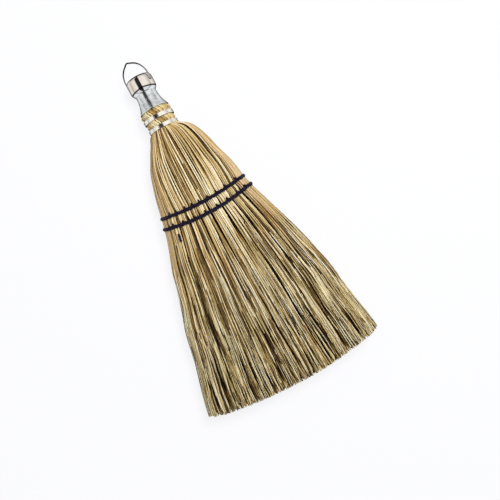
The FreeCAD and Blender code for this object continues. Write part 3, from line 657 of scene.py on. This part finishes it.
bail_wire = drawn_wire("drawn_bail_wire", "#9b9b97", "#c4c4bf",
                       dark_span=(frame_y(BAIL_DARK_FROM), frame_y(BAIL_DARK_TO)))
tie_wire = drawn_wire("drawn_tie_wire", "#77756f", "#9b988f")


# Straw

sheet = straw_sheet("straw_sheet")
straws = straw_tree()

# Each kind of straw: stalks that show from the hoops down, more that come up between them, a layer under both,
# the fine brush below the sewing, the butts in the collars and the core at the cut end

STALKS = dict(
    scatter=0.7, joints=64, sides=5, start=0.074, start_spread=0.0, end=0.82, end_spread=0.42,
    inset=0.6 * MM, dive=1.0 * MM, emerge=0.0, hollow=0.6 * MM, parting=0.16,
    root=0.6 * MM, tip=0.34 * MM, thickness_spread=0.5, wander=0.02, crinkle=0.002, twist=0.0,
    finish=straw_skin)
FILLING = dict(STALKS, start=0.085, start_spread=0.16, inset=0.7 * MM, emerge=2.2 * MM)
UNDER = dict(STALKS, joints=32, sides=4, end=0.8, end_spread=0.3, inset=2.0 * MM, dive=1.2 * MM)
BRUSH = dict(
    scatter=1.2, joints=28, sides=3, start=0.37, start_spread=0.33, end=1.0, end_spread=0.03,
    inset=0.25 * MM, dive=1.3 * MM, emerge=1.4 * MM, hollow=2.6 * MM, parting=0.12,
    root=0.46 * MM, tip=0.37 * MM, thickness_spread=0.8, wander=0.012, crinkle=0.007, twist=0.0,
    finish=brush_skin)
BUTTS = dict(
    STALKS, scatter=0.4, joints=26, sides=6, start=0.0, end=0.076, end_spread=0.0,
    inset=1.0 * MM, dive=0.5 * MM, hollow=0.4 * MM, parting=0.0,
    root=0.84 * MM, tip=0.84 * MM, thickness_spread=0.25, twist=-0.1, finish=collar_skin)
CORE = dict(
    BRUSH, joints=12, start=0.38, start_spread=0.1, inset=3.0 * MM, dive=10.6 * MM, emerge=0.0, hollow=0.0,
    root=0.5 * MM, tip=0.52 * MM, finish=inner_skin)
# How many of each go all round the broom
COUNTS = ((STALKS, 100), (FILLING, 130), (UNDER, 150), (BRUSH, 2000), (BUTTS, 38))
CORE_COUNT = 2400
SIDE_SEED, KIND_SEED, CORE_SEED = 1000, 13, 71

for order, (side, (start, stop)) in enumerate(SIDES.items()):
    names = [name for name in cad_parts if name.startswith(side + "_straw")]
    # The side pieces take the darker straw as painted shade
    side_shaded = {"finish": side_shaded_skin} if side in ("left", "right") else {}
    grown = []
    for index, (kind, count) in enumerate(COUNTS):
        kind = kind | side_shaded if kind["finish"] == straw_skin else kind
        grown.append(grow("straws", sheet, straws, share_from=start, share_to=stop,
                          straws=round(count * (stop - start)),
                          seed=SIDE_SEED * order + KIND_SEED * index, **kind))
    show(side + "_straw", joined(side + "_straw", grown), instead_of=names)
core_straw = grow("core", sheet, straws, share_from=0.0, share_to=1.0,
                  straws=CORE_COUNT, seed=CORE_SEED, **CORE)


def packed_core(depth=4.6, columns=48):
    """The middle of the straw, closed at both ends; its depth gives it the painted shade between the straws, so
    it shows near black.
    """
    alongs = [0.0, 0.025, 0.05, 0.09, 0.14, 0.2, 0.27, 0.35, 0.39, 0.5, 0.62, 0.74, 0.86]
    points = [on_straw(c / columns, a, -depth) for a in alongs for c in range(columns)]
    faces = [(r * columns + c, r * columns + (c + 1) % columns, (r + 1) * columns + (c + 1) % columns,
              (r + 1) * columns + c) for r in range(len(alongs) - 1) for c in range(columns)]
    faces.append(tuple(range(columns))[::-1])
    faces.append(tuple((len(alongs) - 1) * columns + c for c in range(columns)))
    mesh = mesh_of("packed_core", points, faces)
    values = {"tone": [0.0] * len(points), "tint": [0.5] * len(points),
              "along": [a for a in alongs for c in range(columns)], "deep": [depth * MM] * len(points)}
    for name in ATTRIBUTES:
        mesh.attributes.new(name, "FLOAT", "POINT").data.foreach_set("value", values[name])
    mesh.materials.append(inner_skin)
    return mesh


show("inner_straw_bundle", joined("inner_straw_bundle", [core_straw, packed_core()]),
     instead_of=["inner_straw"])


# Sewing

twine = twine_tree()
# Place of each row along the straw, and where its stitches stand round the front
ROWS = {"upper": (UPPER_SEWN, (0.084, 0.115, 0.159, 0.196, 0.231, 0.273, 0.318, 0.364, 0.42)),
        "lower": (LOWER_SEWN, (0.084, 0.131, 0.182, 0.236, 0.29, 0.341, 0.392, 0.434))}
# Radius of one ply, and the length of one twist
BAND_PLY, BAND_LAY = 0.68 * MM, 8 * MM
STITCH_PLY, TAIL_PLY, STITCH_LAY = 0.36 * MM, 0.5 * MM, 5 * MM
# Where a stitch enters below the band and leaves above it, as ways along the straw
ENTRY, EXIT = -0.0105, 0.0045
LAST_PITCH = 0.04
# Length of one straight run of the twine's tubes
TWINE_STEP, STITCH_STEP = 0.7 * MM, 0.6 * MM


def band_path(along, steps=120, lift=0.7, sinks=1.3, edge_share=0.094):
    """Once round the straw, sunk into it at both edges."""
    points = []
    for step in range(steps):
        share = step / steps
        from_edge = 0.25 - abs(share % 0.5 - 0.25)
        edge = max(1 - from_edge / edge_share, 0.0)
        points.append(on_straw(share, along, lift - sinks * edge ** 2))
    return mesh_of("band_path", points, edges=[(i, (i + 1) % steps) for i in range(steps)])


def stitch_path(along, places):
    """One thread: over the band on the front, through the straw, over it on the back, and on."""
    points = []
    for enters, following in zip(places, places[1:] + (places[-1] + LAST_PITCH,)):
        pitch = following - enters
        leaves = enters + pitch * 0.8
        back = 1 - following
        # Share round the broom, way along from the band, and height over the straw in millimetres
        for share, rise, lift in (
                (1 - enters, ENTRY, -1.5), (enters, ENTRY, -1.2), (enters, ENTRY, 0.3),
                (enters + pitch * 0.03, -0.006, 1.4), (enters + pitch * 0.2, -0.003, 2.2),
                (enters + pitch * 0.5, 0.0005, 2.4), (leaves - pitch * 0.1, 0.003, 1.8),
                (leaves, EXIT, 0.5), (leaves, EXIT, -1.2), (1 - leaves, EXIT, -1.2), (1 - leaves, EXIT, 0.6),
                (1 - leaves - pitch * 0.05, 0.003, 2.0), (back + pitch * 0.05, -0.004, 2.0),
                (back, ENTRY, 0.3)):
            points.append(on_straw(share, along + rise, lift))
    # The last stitch ends inside the straw
    return thread_of("stitch_path", points[:-3])


def tail_path():
    """The thread's cut end, hanging from between two locks below the lower row."""
    return thread_of("tail_path", [on_straw(share, LOWER_SEWN + below, lift) for share, below, lift in (
        (0.094, 0.024, -2.0), (0.095, 0.03, 0.3), (0.0955, 0.036, 0.9), (0.096, 0.043, 0.9),
        (0.0965, 0.05, 0.6))])


for row, (along, places) in ROWS.items():
    band = grow("band", band_path(along), twine, ply=BAND_PLY, lay=BAND_LAY, step=TWINE_STEP, finish=twine_yarn)
    show(row + "_band_twine", band, instead_of=[row + "_sewing_band"])
    threads = [(stitch_path(along, places), STITCH_PLY)] + ([(tail_path(), TAIL_PLY)] if row == "lower" else [])
    threads = [grow("stitches", path, twine, ply=ply, lay=STITCH_LAY, step=STITCH_STEP, finish=twine_yarn)
               for path, ply in threads]
    show(row + "_stitch_twine", joined(row + "_stitch_twine", threads),
         instead_of=[row + "_sewing_stitches"])


# Metal

def turned(name, profile, finish, steps=128):
    """A piece turned round the handle's axis from a closed profile of radii and heights."""
    count = len(profile)
    points = []
    for radius, height in profile:
        for step in range(steps):
            turn = math.tau * step / steps
            points.append(in_frame(radius * math.cos(turn), height, -radius * math.sin(turn)))
    faces = [(a * steps + s, a * steps + (s + 1) % steps, b * steps + (s + 1) % steps, b * steps + s)
             for a, b in ((i, (i + 1) % count) for i in range(count)) for s in range(steps)]
    mesh = mesh_of(name, points, faces)
    mesh.polygons.foreach_set("use_smooth", [True] * len(faces))
    mesh.set_sharp_from_angle(angle=math.radians(35))
    mesh.materials.append(finish)
    return mesh


def rounded(corners, steps=6):
    """A profile with its corners rounded; each corner has its radius, height and rounding."""
    made = []
    count = len(corners)
    for index, (radius, height, bend) in enumerate(corners):
        if not bend:
            made.append((radius, height))
            continue
        corner = Vector((radius, height))
        before = Vector(corners[index - 1][:2]) - corner
        after = Vector(corners[(index + 1) % count][:2]) - corner
        trim = bend / math.tan(before.angle(after) / 2)
        first, last = corner + before.normalized() * trim, corner + after.normalized() * trim
        for step in range(steps + 1):
            t = step / steps
            made.append(tuple(first * (1 - t) ** 2 + corner * 2 * t * (1 - t) + last * t ** 2))
    return made


def dome(radius, drop=0.0):
    """Height of the cap's dome at a radius."""
    return CAP_TOP - drop - (CAP_DOME_BEND - math.sqrt(CAP_DOME_BEND ** 2 - radius ** 2))


def cap_profile(rim_steps=12):
    """Round the cap's wall: the turned-in rim, the shoulder, the dome and the inside."""
    inside = CAP_RADIUS - CAP_WALL
    rim_turn = math.asin(CAP_RIM_RISE / CAP_RIM_BEND)
    rim = [(CAP_RADIUS - CAP_RIM_BEND * (1 - math.cos(turn)),
            CAP_BASE + CAP_RIM_RISE - CAP_RIM_BEND * math.sin(turn), 0)
           for turn in (rim_turn * step / rim_steps for step in range(rim_steps, -1, -1))]
    outside = [(r, dome(r), 0) for r in (6.3, 5.5, 4.5, 3.5, 2.5, 1.5, 0.7, 0.02)]
    under = [(r, dome(r, CAP_WALL), 0) for r in (0.02, 2.0, 4.0, 6.0)]
    return rounded(rim + [(CAP_RADIUS, dome(CAP_RADIUS) + 0.15, CAP_CORNER)] + outside + under + [
        (8.4, dome(8.4, 0.7), 0), (inside, dome(inside, 2.2), 0), (inside, CAP_BASE + CAP_RIM_RISE, 0),
        (8.16, CAP_BASE + 0.65, 0)])


def flare(height, wall=0.0):
    """Radius of the bottle-shaped sleeve at a height above its rim."""
    drop = max(SLEEVE_FLARE - height, 0)
    return SLEEVE_NECK_RADIUS - wall + (SLEEVE_FLARE_BEND - math.sqrt(SLEEVE_FLARE_BEND ** 2 - drop ** 2))


def sleeve_profile():
    """Round the sleeve's wall: down the inside, over the rounded rim and up the outside."""
    outside = (0.15, 0.5, 1, 2, 3, 4, 5, 6, 7, 8, 9, 10, 11, 12, 12.5, 16, 23.9)
    inside = (23.9, 16, 12.5, 11, 9, 7, 5, 3, 1.5, 0.2)
    profile = [(flare(h), SLEEVE_RIM + h) for h in outside]
    profile += [(flare(h, SLEEVE_WALL), SLEEVE_RIM + h) for h in inside]
    profile += [(flare(0, 0.3), SLEEVE_RIM), (flare(0, 0.1), SLEEVE_RIM)]
    return profile[::-1]


def hoop_profile(outer, base, wide):
    inner = outer - HOOP_WALL
    return rounded([(inner, base, HOOP_INNER_EDGE), (outer, base, HOOP_EDGE), (outer, base + wide, HOOP_EDGE),
                    (inner, base + wide, HOOP_INNER_EDGE)], 3)


show("nickel_cap", turned("nickel_cap", cap_profile(), nickel), instead_of=["end_cap"])
show("steel_sleeve", turned("steel_sleeve", sleeve_profile(), sleeve_steel),
     instead_of=["handle_sleeve"])
for name, sizes in HOOPS.items():
    show(name + "_steel_hoop", turned(name + "_steel_hoop", hoop_profile(*sizes), hoop_steel),
         instead_of=[name + "_hoop"])
for node, finish in (("hanging_bail", bail_wire), ("binding_wire", tie_wire)):
    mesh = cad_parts[node].data
    mesh.materials.clear()
    mesh.materials.append(finish)


# Floor, light and camera

FLOOR_HALF = 6.0
FLOOR_Z = -0.0005
FLOOR_PLAIN = 0.85

floor_finish, floor_tree, floor_skin = new_finish("matt_white_floor")
floor_skin["Base Color"].default_value = colour("#f8f9fb")
floor_skin["Roughness"].default_value = 0.9
# Seen directly or mirrored, the floor is mostly plain white; the rest of it takes the shadow
rays = add(floor_tree, "ShaderNodeLightPath").node.outputs
seen = maths(floor_tree, "MAXIMUM", rays["Is Camera Ray"], rays["Is Glossy Ray"])
seen = maths(floor_tree, "MAXIMUM", seen, rays["Is Transmission Ray"])
seen = maths(floor_tree, "MULTIPLY", seen, FLOOR_PLAIN)
plain = add(floor_tree, "ShaderNodeEmission", {"Color": colour("#fdfdff"), "Strength": 1.0})
lit = floor_tree.nodes["Principled BSDF"].outputs[0]
floor_mix = add(floor_tree, "ShaderNodeMixShader", {0: seen, 1: lit, 2: plain})
floor_tree.links.new(floor_mix, floor_tree.nodes["Material Output"].inputs["Surface"])
corners = [(x * FLOOR_HALF, y * FLOOR_HALF, FLOOR_Z) for x, y in ((-1, -1), (1, -1), (1, 1), (-1, 1))]
floor = bpy.data.objects.new("floor", mesh_of("floor", corners, [(0, 1, 2, 3)]))
floor.data.materials.append(floor_finish)
bpy.context.collection.objects.link(floor)

scene = bpy.context.scene
scene.view_settings.view_transform = "Standard"
sky = bpy.data.worlds.new("light_tent")
scene.world = sky
sky.use_nodes = True
tent = sky.node_tree
# What the metal mirrors: a white tent arched over the broom from left to right, with a dark slot over the
# handle and dim ends. Each stop is a lean from upright, in degrees, and the brightness there.
toward = add(tent, "ShaderNodeTexCoord").node.outputs["Generated"]
parts = add(tent, "ShaderNodeSeparateXYZ", {"Vector": toward}).node.outputs
lean = maths(tent, "ARCTAN2", parts["X"], parts["Z"])
lean = ranged(tent, lean, math.radians(-90), math.radians(90))
arch = add(tent, "ShaderNodeValToRGB", {"Fac": lean}, stops=[
    ((90 + degrees) / 180, (level, level, level, 1.0)) for degrees, level in (
        (-90, 0.4), (-70, 0.8), (-55, 0.95), (-33, 0.95), (-28, 0.02), (4, 0.02), (9, 1.0), (50, 1.0),
        (90, 0.5))])
ends = ranged(tent, maths(tent, "ABSOLUTE", parts["Y"]), 0.35, 0.65, 1.05, 0.85)
mirror = maths(tent, "MULTIPLY", arch, ends)
# What lights the broom beside the lamp: a soft sky, brighter overhead. The camera sees plain white.
soft = ranged(tent, parts["Z"], 0.0, 1.0, 0.1, 0.5)
paths = add(tent, "ShaderNodeLightPath").node.outputs
mirrored = maths(tent, "MAXIMUM", paths["Is Glossy Ray"], paths["Is Transmission Ray"])
tent_light = mixed(tent, mirrored, soft, mirror, kind="FLOAT")
tent_light = mixed(tent, paths["Is Camera Ray"], tent_light, 1.0, kind="FLOAT")
tent.nodes["Background"].inputs["Color"].default_value = (1.0, 1.0, 1.0, 1.0)
tent.links.new(tent_light, tent.nodes["Background"].inputs["Strength"])

lamp = bpy.data.lights.new("window", "AREA")
lamp.shape = "RECTANGLE"
lamp.size = 0.35
lamp.size_y = 0.5
lamp.energy = 12.0
window = bpy.data.objects.new("window", lamp)
bpy.context.collection.objects.link(window)
window.location = (0.38, 0.22, 1.12)
window.rotation_euler = (-window.location).to_track_quat("-Z", "Y").to_euler()
window.visible_glossy = False

lens = bpy.data.cameras.new("camera")
camera = bpy.data.objects.new("camera", lens)
bpy.context.collection.objects.link(camera)
camera.location = (0.0129, -0.03117, 0.614)
camera.rotation_euler = (0.0, 0.0, math.radians(-28.35))
lens.angle = math.radians(34.2)
scene.camera = camera
